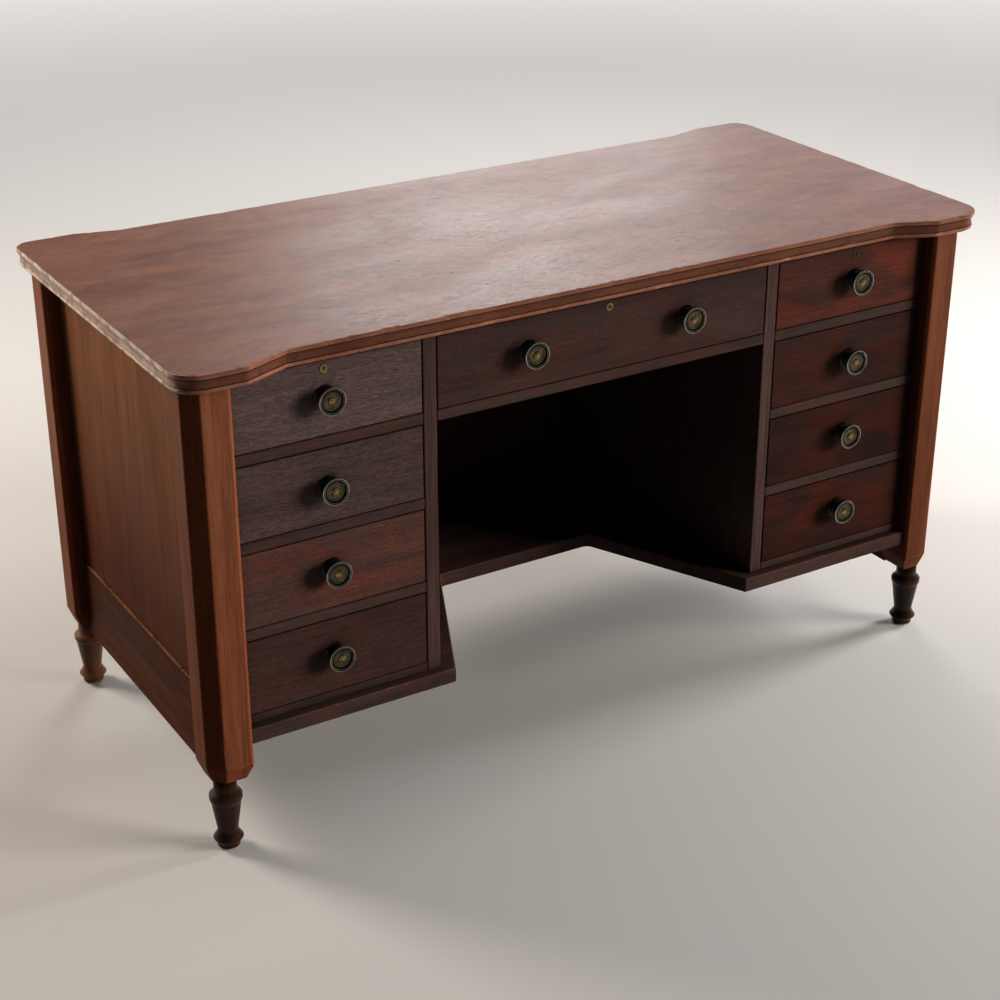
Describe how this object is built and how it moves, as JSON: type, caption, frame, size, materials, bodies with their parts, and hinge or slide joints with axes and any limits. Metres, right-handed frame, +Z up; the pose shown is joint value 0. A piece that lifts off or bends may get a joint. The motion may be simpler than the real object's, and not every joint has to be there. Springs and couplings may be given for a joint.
{
  "type": "captains desk",
  "caption": "Dark mahogany kneehole desk with a shaped moulded top, chamfered corner posts on turned feet, two drawer pedestals, a locking centre drawer and a notched base board.",
  "frame": {"origin": "on the floor, under the middle of the top's outline", "axes": "+X to the sitter's right along the top, -Y towards the sitter, +Z up"},
  "size_m": [1.4, 0.651, 0.766],
  "materials": {
    "top_mahogany": "polished, worn at the edges",
    "case_mahogany": "polished, worn at the arrises",
    "drawer_mahogany": "polished",
    "foot_mahogany": "dark polish",
    "secondary_oak": "bare, aged",
    "aged_brass": "darkened, bright where worn",
    "lock_brass": "polished",
    "steel": "plain"
  },
  "bodies": {
    "desk_case": {"desk_top": "top_mahogany", "top_cleats": "secondary_oak", "cleat_screws": "steel", "base_board": "case_mahogany", "kneehole_panel": "case_mahogany", "pedestal_rails": "case_mahogany", "centre_drawer_rail": "case_mahogany", "drawer_runners": "secondary_oak", "front_left_post": "case_mahogany", "front_left_foot": "foot_mahogany", "front_right_post": "case_mahogany", "front_right_foot": "foot_mahogany", "rear_left_post": "case_mahogany", "rear_left_foot": "foot_mahogany", "rear_right_post": "case_mahogany", "rear_right_foot": "foot_mahogany", "left_side_panel": "case_mahogany", "right_side_panel": "case_mahogany", "left_side_rail": "case_mahogany", "right_side_rail": "case_mahogany", "left_inner_panel": "case_mahogany", "right_inner_panel": "case_mahogany", "left_back_panel": "case_mahogany", "right_back_panel": "case_mahogany"},
    "left_top_drawer": {"left_top_drawer_front": "drawer_mahogany", "left_top_drawer_box": "secondary_oak", "left_top_drawer_knob": "aged_brass", "left_lock_case": "lock_brass"},
    "left_second_drawer": {"left_second_drawer_front": "drawer_mahogany", "left_second_drawer_box": "secondary_oak", "left_second_drawer_knob": "aged_brass"},
    "left_third_drawer": {"left_third_drawer_front": "drawer_mahogany", "left_third_drawer_box": "secondary_oak", "left_third_drawer_knob": "aged_brass"},
    "left_bottom_drawer": {"left_bottom_drawer_front": "drawer_mahogany", "left_bottom_drawer_box": "secondary_oak", "left_bottom_drawer_knob": "aged_brass"},
    "right_top_drawer": {"right_top_drawer_front": "drawer_mahogany", "right_top_drawer_box": "secondary_oak", "right_top_drawer_knob": "aged_brass", "right_lock_case": "lock_brass"},
    "right_second_drawer": {"right_second_drawer_front": "drawer_mahogany", "right_second_drawer_box": "secondary_oak", "right_second_drawer_knob": "aged_brass"},
    "right_third_drawer": {"right_third_drawer_front": "drawer_mahogany", "right_third_drawer_box": "secondary_oak", "right_third_drawer_knob": "aged_brass"},
    "right_bottom_drawer": {"right_bottom_drawer_front": "drawer_mahogany", "right_bottom_drawer_box": "secondary_oak", "right_bottom_drawer_knob": "aged_brass"},
    "centre_drawer": {"centre_drawer_front": "drawer_mahogany", "centre_drawer_box": "secondary_oak", "centre_drawer_knobs": "aged_brass", "centre_lock_case": "lock_brass"},
    "left_lock_plug": {"left_lock_plug": "lock_brass"},
    "left_lock_bolt": {"left_lock_bolt": "steel"},
    "centre_lock_plug": {"centre_lock_plug": "lock_brass"},
    "centre_lock_bolt": {"centre_lock_bolt": "steel"},
    "right_lock_plug": {"right_lock_plug": "lock_brass"},
    "right_lock_bolt": {"right_lock_bolt": "steel"}
  },
  "joints": [
    {"name": "left_top_drawer_slide", "type": "slide", "parent": "desk_case", "child": "left_top_drawer", "axis": [0, -1, 0], "range_m": [0, 0.36]},
    {"name": "left_second_drawer_slide", "type": "slide", "parent": "desk_case", "child": "left_second_drawer", "axis": [0, -1, 0], "range_m": [0, 0.36]},
    {"name": "left_third_drawer_slide", "type": "slide", "parent": "desk_case", "child": "left_third_drawer", "axis": [0, -1, 0], "range_m": [0, 0.36]},
    {"name": "left_bottom_drawer_slide", "type": "slide", "parent": "desk_case", "child": "left_bottom_drawer", "axis": [0, -1, 0], "range_m": [0, 0.36]},
    {"name": "right_top_drawer_slide", "type": "slide", "parent": "desk_case", "child": "right_top_drawer", "axis": [0, -1, 0], "range_m": [0, 0.36]},
    {"name": "right_second_drawer_slide", "type": "slide", "parent": "desk_case", "child": "right_second_drawer", "axis": [0, -1, 0], "range_m": [0, 0.36]},
    {"name": "right_third_drawer_slide", "type": "slide", "parent": "desk_case", "child": "right_third_drawer", "axis": [0, -1, 0], "range_m": [0, 0.36]},
    {"name": "right_bottom_drawer_slide", "type": "slide", "parent": "desk_case", "child": "right_bottom_drawer", "axis": [0, -1, 0], "range_m": [0, 0.36]},
    {"name": "centre_drawer_slide", "type": "slide", "parent": "desk_case", "child": "centre_drawer", "axis": [0, -1, 0], "range_m": [0, 0.36]},
    {"name": "left_bolt_slide", "type": "slide", "parent": "left_top_drawer", "child": "left_lock_bolt", "axis": [0, 0, 1], "range_m": [0, 0.00848]},
    {"name": "left_key_turn", "type": "hinge", "parent": "left_top_drawer", "child": "left_lock_plug", "pos_m": [-0.47, -0.2785, 0.7205], "axis": [0, -1, 0], "range_deg": [0, 90]},
    {"name": "centre_bolt_slide", "type": "slide", "parent": "centre_drawer", "child": "centre_lock_bolt", "axis": [0, 0, 1], "range_m": [0, 0.00848]},
    {"name": "centre_key_turn", "type": "hinge", "parent": "centre_drawer", "child": "centre_lock_plug", "pos_m": [0, -0.2785, 0.7205], "axis": [0, -1, 0], "range_deg": [0, 90]},
    {"name": "right_bolt_slide", "type": "slide", "parent": "right_top_drawer", "child": "right_lock_bolt", "axis": [0, 0, 1], "range_m": [0, 0.00848]},
    {"name": "right_key_turn", "type": "hinge", "parent": "right_top_drawer", "child": "right_lock_plug", "pos_m": [0.47, -0.2785, 0.7205], "axis": [0, -1, 0], "range_deg": [0, 90]}
  ],
  "couplings": [
    {"joint": "left_key_turn", "follows": "left_bolt_slide", "rad_per_m": 185.12},
    {"joint": "centre_key_turn", "follows": "centre_bolt_slide", "rad_per_m": 185.12},
    {"joint": "right_key_turn", "follows": "right_bolt_slide", "rad_per_m": 185.12}
  ]
}
